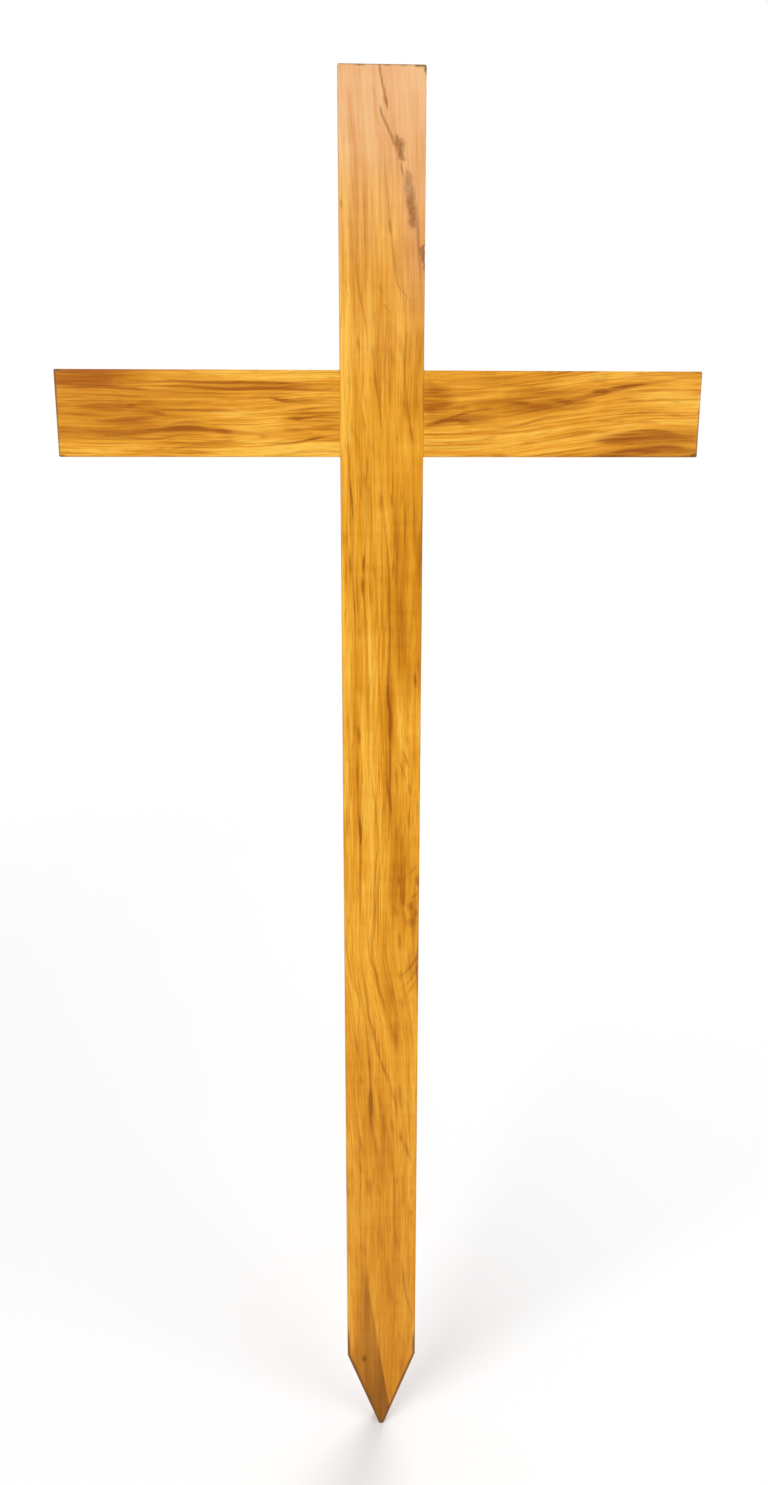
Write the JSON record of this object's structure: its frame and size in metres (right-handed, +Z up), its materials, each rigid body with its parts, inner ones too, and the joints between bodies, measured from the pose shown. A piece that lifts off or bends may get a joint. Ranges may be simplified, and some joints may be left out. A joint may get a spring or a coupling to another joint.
{
  "type": "wooden grave cross",
  "caption": "Flat Latin cross of varnished boards, halved flush where they cross, with a sawn point at the foot of the upright for driving into the ground.",
  "frame": {"origin": "on the upright's centre line, in the middle of its thickness, at the ground line 0.300 m above the blunt tip", "axes": "+Z up along the upright to its top end, +X along the crossbar to the right as seen from the front, -Y out of the front face"},
  "size_m": [0.5, 0.02, 1.2],
  "materials": {
    "upright_wood": "satin amber varnish over straight-grained knotty timber",
    "crossbar_wood": "satin amber varnish over brown-streaked timber"
  },
  "bodies": {
    "root": {"upright": "upright_wood", "crossbar": "crossbar_wood"}
  },
  "joints": []
}
